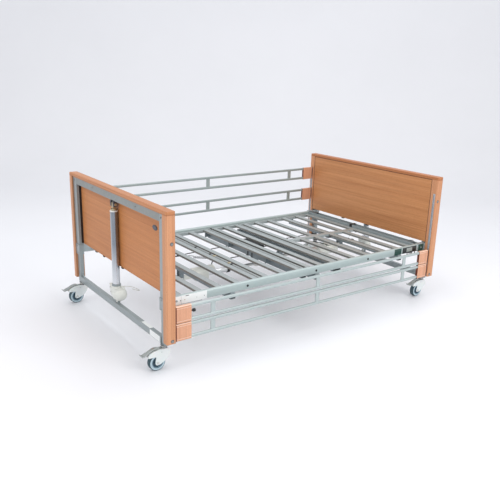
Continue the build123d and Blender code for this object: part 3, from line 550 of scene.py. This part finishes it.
def plate(name, xs, ys, zs, material, bevel, body="bed_frame"):
    """Rounded block between pairs of x, y and z."""
    half = Vector([abs(b - a) for a, b in (xs, ys, zs)]) / 2000.0
    verts = [(i * half.x, j * half.y, k * half.z)
             for i in (-1, 1) for j in (-1, 1) for k in (-1, 1)]
    faces = [(0, 1, 3, 2), (4, 6, 7, 5), (0, 4, 5, 1), (2, 3, 7, 6), (0, 2, 6, 4), (1, 5, 7, 3)]
    part = mesh_object(name, verts, faces, material)
    part.location = scene_point(*[(a + b) / 2 for a, b in (xs, ys, zs)])
    rounding = part.modifiers.new("bevel", "BEVEL")
    rounding.width = bevel / 1000.0
    rounding.segments = 2
    attach(part, body)


def lathe(name, axis, centre, profile, material, segments=32, body="bed_frame"):
    """Solid of revolution. profile is a list of (distance along the axis, radius)."""
    verts, faces = [], []
    count = len(profile)
    for i in range(segments):
        angle = 2 * math.pi * i / segments
        for along, radius in profile:
            u, v = radius * math.cos(angle) / 1000, radius * math.sin(angle) / 1000
            t = along / 1000
            verts.append({"x": (t, u, v), "y": (u, t, v), "z": (u, v, t)}[axis])
    for i in range(segments):
        j = (i + 1) % segments
        for k in range(count - 1):
            faces.append((i * count + k, j * count + k, j * count + k + 1, i * count + k + 1))
    faces.append([i * count for i in range(segments)])
    faces.append([i * count + count - 1 for i in reversed(range(segments))])
    part = mesh_object(name, verts, faces, material, smooth=True)
    part.location = scene_point(*centre)
    attach(part, body)


def wire(name, points, radius, material, body="bed_frame", smooth=True):
    """Round lead along its points, as a smooth curve or straight runs."""
    curve = bpy.data.curves.new(name, "CURVE")
    curve.dimensions = "3D"
    curve.bevel_depth = radius / 1000.0
    curve.bevel_resolution = 3
    curve.use_fill_caps = True
    spline = curve.splines.new("NURBS" if smooth else "POLY")
    spline.points.add(len(points) - 1)
    for point, place in zip(spline.points, points):
        point.co = (*scene_point(*place), 1)
    if smooth:
        spline.order_u = 4
        spline.use_endpoint_u = True
    curve.materials.append(material)
    part = bpy.data.objects.new(name, curve)
    bpy.context.scene.collection.objects.link(part)
    attach(part, body)


# ------------------------------------------------ badge, clips, seals, blocks
def oval(name, x, half_width, half_height, thick=1.6, segments=40):
    """Oval plate standing out towards -X, its outer rim chamfered."""
    verts, faces = [], []
    for depth, scale in ((0, 1.0), (-thick * 0.7, 1.0), (-thick, 0.93)):
        for i in range(segments):
            angle = 2 * math.pi * i / segments
            verts.append((depth / 1000, half_width * scale * math.cos(angle) / 1000,
                          half_height * scale * math.sin(angle) / 1000))
    for k in range(2):
        low, high = k * segments, (k + 1) * segments
        for i in range(segments):
            j = (i + 1) % segments
            faces.append((low + i, low + j, high + j, high + i))
    faces.append([2 * segments + i for i in range(segments)])
    faces.append(list(reversed(range(segments))))
    part = mesh_object(name, verts, faces, BADGE)
    part.location = scene_point(x, -467, 762)
    attach(part, "bed_frame")


# oval badge on the outer face of the foot panel
oval("badge_rim", -1045.0, half_width=28, half_height=15)
oval("badge_plate", -1046.2, half_width=25.5, half_height=12.6)

# clips under the foot and head panels
for end, e in ENDS:
    for i, y in enumerate((234.0, -38.0)):
        plate(f"{end}_panel_clip_{i}", span(e, 1029, 1047), (y - 11, y + 11), (412, 420.5),
              BLACK, 1.5)

PANEL_OUTER, PANEL_INNER = 1045, 1031    # x of a panel's two faces
PANEL_BASE = 420.5
SHADOW_GAP_X = (1074.4, 1075.5)                 # painted shadow lines beside the rails and posts

# painted shadow: dark strips round each panel, inside and outside, where the gaps fall in shade
for end, e in ENDS:
    outer = span(e, PANEL_OUTER - 0.4, PANEL_OUTER + 0.8)
    inner = span(e, PANEL_INNER - 0.7, PANEL_INNER + 0.4)
    for s in (-1, 1):
        plate(f"{end}_seal_out_{s}", outer, span(s, 561.5, 570.2), (PANEL_BASE, 822), SHADOW_STRIP, 0.2)
        plate(f"{end}_seal_in_{s}", inner, span(s, 606.5, 610.2), (PANEL_BASE, 870), SHADOW_STRIP, 0.2)
        plate(f"{end}_shadow_strip_side_{s}", span(e, PANEL_OUTER + 0.4, 1057), span(s, 569.3, 570.2),
              (PANEL_BASE, 822), SHADOW_STRIP, 0.2)
    plate(f"{end}_seal_out_top", outer, (-561, 561), (812.0, 822.3), SHADOW_STRIP, 0.2)
    # painted shadow line under the top rail
    plate(f"{end}_rail_shadow_line", span(e, *SHADOW_GAP_X), (-616, 616), (867.6, 870.2), SHADOW_STRIP, 0.2)
    plate(f"{end}_seal_in_top", inner, (-607, 607), (866.8, 870.2), SHADOW_STRIP, 0.2)

# painted shadow: dark strips in the gaps between the leg tubes and the posts
for end, e in ENDS:
    for s in (-1, 1):
        plate(f"{end}_post_shadow_line_{s}", span(e, *SHADOW_GAP_X), span(s, 616.8, 620.2), (414, 869),
              SHADOW_STRIP, 0.2)

# dark plates at the post ends of the side rail blocks: end grain, darkened further as painted
# shade in the gap beside the posts
for side, s in SIDES:
    for level in ("upper", "lower"):
        low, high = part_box(f"{side}_{level}_blocks")
        outer = max(abs(low[1]), abs(high[1])) * 1000
        zs = ((low[2] - BED_Z) * 1000 + 3, (high[2] - BED_Z) * 1000 - 3)
        for end, e in ENDS:
            plate(f"{side}_{level}_block_end_{end}", span(e, 1020.6, 1024.5),
                  span(s, outer - 2.5, outer + 0.35), zs, END_GRAIN_SHADED, 0.3,
                  body=f"{side}_{level}_rail")

# ------------------------------------------------------------- blank labels
SIDE_Y = (-600.6, -599.7)      # on the near side member
CORNER_Y = (-603.5, -602.6)    # on its outer ends
CORNER_Z = (358.5, 407)

plate("label_side_a", (-1022, -967.5), CORNER_Y, CORNER_Z, WHITE_LABEL, 0.2)
plate("label_side_b", (-964, -803), SIDE_Y, (360, 406), WHITE_LABEL, 0.2)
# x, z, radius, material
SIDE_RIVETS = ((-971, 381, 3.2, DARK_STEEL), (-943, 381, 3.0, BRASS),
               (-1012, 381, 3.4, DARK_STEEL), (-868, 380, 2.2, BOLT),
               (-820, 381, 2.6, DARK_STEEL))
for i, (x, z, radius, material) in enumerate(SIDE_RIVETS):
    lathe(f"side_rivet_{i}", "y", (x, -600.4 if x > -965 else -603.3, z),
          [(0, radius), (-0.9, radius * 0.92), (-1.5, radius * 0.45)], material, segments=16)
plate("side_slot", (-938, -917), (-601.1, -600.2), (399.5, 403), BLACK, 0.2)
plate("label_dark_a", (722, 792), SIDE_Y, (361, 405), GREEN_LABEL, 0.2)
plate("label_dark_b", (804, 950), SIDE_Y, (362, 404), BLACK_LABEL, 0.2)
plate("label_dark_b_inset", (846, 905), (-601.0, -600.2), (370, 397), PALE_LABEL, 0.2)
plate("label_dark_c", (967.5, 1020), CORNER_Y, CORNER_Z, GREEN_LABEL, 0.2)
plate("label_bar_top", (-1073, -1051), (-441, -336), (184.8, 185.4), WHITE_LABEL, 0.15,
      body="foot_legs")
plate("label_bar_face", (-1075.5, -1074.8), (-560, -443), (149, 182), WHITE_LABEL, 0.15,
      body="foot_legs")
plate("tag_under_head", (850, 950), (-598, -596.6), (328, 348), BLACK, 0.3)
for i, x in enumerate((860, 940)):
    plate(f"tag_strap_{i}", (x - 4, x + 4), (-597, -595.8), (345, 359), DARK_STEEL, 0.2)

# ------------------------------------------------- caps, straps and brackets
# end caps pressed into the open section tubes
SEAT_CAP = ((548.2, 569.8), (370.4, 391.8))    # y and z spans
END_CAP = ((549, 569.5), (371, 391.5))
# name, x span, (y span, z span), body
SECTION_CAPS = (("seat_cap_head", (211.5, 217), SEAT_CAP, "bed_frame"),
                ("seat_cap_foot", (-41, -35.5), SEAT_CAP, "bed_frame"),
                ("back_cap", (944.5, 948), END_CAP, "backrest"),
                ("leg_cap", (-971, -967.5), END_CAP, "lower_leg"))
for side, s in SIDES:
    for name, xs, (ys, zs), body in SECTION_CAPS:
        plate(f"{name}_{side}", xs, span(s, *ys), zs, BLACK, 1.0, body)

# strap and plugs on the head channel
STRAP_Y = (50, 76)
plate("channel_strap_a", (1006.6, 1009), STRAP_Y, (366, 410), BLACK, 0.6)
plate("channel_strap_b", (955, 957.3), STRAP_Y, (366, 410), BLACK, 0.6)
plate("channel_strap_c", (955, 1009), STRAP_Y, (408, 410.6), BLACK, 0.8)
plate("channel_plug", (946, 957), (-12, 9), (360, 376), BLACK, 1.5)
plate("rear_plug_a", (799.8, 816), (-118, -98), (322, 351), BLACK, 2.0)
plate("rear_plug_b", (799.8, 809), (-78, -62), (326, 351), BLACK, 2.0)

# brackets under the backrest spine and clamps on the thigh levers
for i, (x, half) in enumerate(((527, 12), (659, 15))):
    plate(f"spine_bracket_{i}", (x - half, x + half), (-17, 17), (357, 374.4), DARK_STEEL, 1.5,
          body="backrest")
    plate(f"spine_foot_{i}", (x - half - 7, x + half + 7), (-22, 22), (371.5, 374.2),
          PIVOT_PAINT, 0.6, body="backrest")
for i, y in enumerate((-24.0, 24.0)):
    plate(f"lever_clamp_{i}", (-78, -32), (y - 5, y + 5), (322, 368), BLACK, 3.0, body="thigh")

# collars round the motor rods
lathe("rod_seal_thigh", "x", (-156, 0, 264),
      [(-12, 10.2), (-11, 14.5), (8, 14.5), (12, 12.5), (13, 10.2)], BLACK, body="knee_rod")
lathe("guide_collar_thigh", "x", (-262, 0, 264),
      [(11, 18.2), (11.5, 22.5), (-9, 22.5), (-10, 18.2)], BLACK)
lathe("guide_collar_back", "x", (452, 0, 285),
      [(-12.5, 18.2), (-13, 22.5), (9, 22.5), (10, 18.2)], BLACK)

# clips and bolts across the knee: y, material
KNEE_X = -391
KNEE_CLIPS = ((12.0, BLACK), (-36.0, BRASS), (-210.0, BRASS), (-242.0, BLACK), (196.0, BLACK))
for i, (y, material) in enumerate(KNEE_CLIPS):
    plate(f"knee_clip_{i}", (KNEE_X - 11, KNEE_X + 11), (y - 9, y + 9), (366, 390.6), material,
          2.5, body="thigh")
    lathe(f"knee_bolt_{i}", "z", (KNEE_X, y, 366.5),
          [(0.5, 5.5), (-7, 5.5), (-7.5, 4.0), (-14, 3.6)], BOLT, segments=16, body="thigh")

# --------------------------------------------------------------------- leads
COIL_TURNS, COIL_STEPS, COIL_RADIUS = 15, 10, 7.0    # steps are per turn
LEAD_RADIUS = 2.0


def coil_points():
    start, stop = Vector((-373, 257, 297)), Vector((-300, 176, 301))
    up = Vector((0, 0, 1))
    across = (stop - start).normalized().cross(up).normalized()
    points = []
    for k in range(COIL_TURNS * COIL_STEPS + 1):
        t = k / (COIL_TURNS * COIL_STEPS)
        angle = 2 * math.pi * COIL_TURNS * t
        points.append(start.lerp(stop, t) + up * COIL_RADIUS * math.cos(angle)
                      + across * COIL_RADIUS * math.sin(angle))
    return points


# coiled lead to the foot lift, and loose leads beside it
wire("coiled_lead", coil_points(), 1.5, CABLE, smooth=False)
wire("coil_tail_a", [(-373, 257, 304), (-400, 285, 306), (-470, 300, 308), (-560, 300, 309),
                     (-606, 299, 312)], LEAD_RADIUS, CABLE)
wire("coil_tail_b", [(-300, 176, 308), (-280, 150, 304), (-270, 118, 300), (-300, 104, 300)],
     LEAD_RADIUS, CABLE)
wire("lift_lead_foot", [(-1062, -24, 297), (-1050, -38, 301), (-1030, -60, 306),
                        (-1012, -95, 309), (-1000, -130, 307), (-990, -150, 300),
                        (-985, -140, 292), (-992, -110, 288), (-1005, -80, 290)],
     LEAD_RADIUS, LEAD, body="foot_legs")
wire("lift_lead_head", [(1062, 24, 297), (1040, 40, 303), (1015, 66, 309), (1000, 92, 306),
                        (992, 104, 297)], LEAD_RADIUS, LEAD, body="head_legs")

# -------------------------------------------------------- screws and washers
number = 0    # runs on through both kinds of screw and both ends
for end, e in ENDS:
    for y in (-592.0, -300.0, 300.0, 592.0):
        lathe(f"{end}_crossbar_screw_{number}", "x", (e * 1075, y, 846),
              [(-e * 0.5, 5.0), (e * 1.4, 5.0), (e * 2.2, 3.4)], BOLT, segments=18)
        number += 1
    for s in (-1, 1):
        for z in (352, 402):
            lathe(f"{end}_collar_screw_{number}", "x", (e * 1079, s * 593, z),
                  [(-e * 0.5, 4.0), (e * 1.2, 4.0), (e * 1.9, 2.6)], BOLT, segments=16)
            number += 1

# dark washers round the post bolts, and down each channel a dark strip as painted shade inside
# it
for end, e in ENDS:
    for s in (-1, 1):
        for i, z in enumerate((720.0, 185.0)):
            lathe(f"{end}_bolt_ring_{s}_{i}", "y", (e * 1052, s * 659.9, z),
                  [(0, 10.0), (s * 0.5, 9.9), (s * 0.8, 9.2), (s * 0.8, 6.6)], DARK_STEEL,
                  segments=28)
        plate(f"{end}_channel_shadow_line_{s}", span(e, 1039.1, 1039.7), span(s, 638.6, 643.4),
              (170, 767), DARK_STEEL, 0.1)

# ------------------------------------------------- studio floor (metres here)
VIEW_YAW, VIEW_PITCH, VIEW_ROLL = 0.935101534776624, 0.291400967417941, 0.02961874694935892
VIEW_RIGHT = Vector((math.sin(VIEW_YAW), -math.cos(VIEW_YAW), 0))


def studio():
    """Floor that curves up into a back wall, square to the view."""
    back, bend, half_width = 3.6, 2.6, 11.0    # start and radius of the curve
    ahead = Vector((math.cos(VIEW_YAW), math.sin(VIEW_YAW), 0))
    profile = [(-9.0, 0.0), (back, 0.0)]
    for i in range(1, 13):
        angle = math.pi / 2 * i / 12
        profile.append((back + bend * math.sin(angle), bend - bend * math.cos(angle)))
    profile.append((back + bend, 7.5))
    verts = []
    for along, z in profile:
        for across in (-half_width, half_width):
            point = ahead * along + VIEW_RIGHT * across
            verts.append((point.x, point.y, z))
    faces = [(2 * i, 2 * i + 1, 2 * i + 3, 2 * i + 2) for i in range(len(profile) - 1)]
    m = Mat("studio_floor")
    broad = m.noise(0.8, detail=3.0)
    colour = m.mix(srgb(226, 227, 231), srgb(232, 233, 237),
                   amount=m.remap(broad, to=(0.0, 1.0)))
    m.finish(color=colour, rough=m.remap(broad, to=(0.32, 0.42)),
             normal=m.bump(m.noise(60), strength=0.02, distance=0.001), spec=0.25)
    mesh_object("studio_sweep", verts, faces, m.material, smooth=True)


studio()

# -------------------------------------------------------------------- lights
scene = bpy.context.scene
world = bpy.data.worlds.new("studio_world")
scene.world = world
world.use_nodes = True
background = next(n for n in world.node_tree.nodes if n.type == "BACKGROUND")
background.inputs["Color"].default_value = (0.985, 0.988, 1.0, 1)
background.inputs["Strength"].default_value = 0.90


def area(name, place, target, size, power, colour=(1, 1, 1)):
    data = bpy.data.lights.new(name, "AREA")
    data.shape = "RECTANGLE"
    data.size, data.size_y = size
    data.energy = power
    data.color = colour
    light = bpy.data.objects.new(name, data)
    light.location = place
    aim = Vector(target) - Vector(place)
    light.rotation_euler = aim.to_track_quat("-Z", "Y").to_euler()
    scene.collection.objects.link(light)


area("key", (1.0, -5.2, 3.6), target=(0, 0, 0.4), size=(3.6, 3.0), power=136,
     colour=(1.0, 0.99, 0.98))
area("top", (0.3, 0.3, 4.6), target=(0, 0, 0.2), size=(5.0, 4.0), power=84)
area("left", (-5.2, -0.6, 2.6), target=(0, 0, 0.5), size=(3.0, 2.4), power=44,
     colour=(0.97, 0.985, 1.0))

# -------------------------------------------------------------------- camera
CAMERA_PLACE = (-2.4989 + BED_X, -3.2846, 1.594 + BED_Z)

camera_data = bpy.data.cameras.new("camera")
camera_data.sensor_fit = "HORIZONTAL"
camera_data.sensor_width = 36.0
camera_data.lens = 44.33184
camera = bpy.data.objects.new("camera", camera_data)
forward = Vector((math.cos(VIEW_YAW) * math.cos(VIEW_PITCH),
                  math.sin(VIEW_YAW) * math.cos(VIEW_PITCH), -math.sin(VIEW_PITCH)))
level_up = VIEW_RIGHT.cross(forward)
right = VIEW_RIGHT * math.cos(VIEW_ROLL) + level_up * math.sin(VIEW_ROLL)
up = level_up * math.cos(VIEW_ROLL) - VIEW_RIGHT * math.sin(VIEW_ROLL)
rows = [(right[i], up[i], -forward[i], CAMERA_PLACE[i]) for i in range(3)]
camera.matrix_world = Matrix(rows + [(0, 0, 0, 1)])
scene.collection.objects.link(camera)
scene.camera = camera
scene.view_settings.view_transform = "Standard"
scene.view_settings.look = "None"
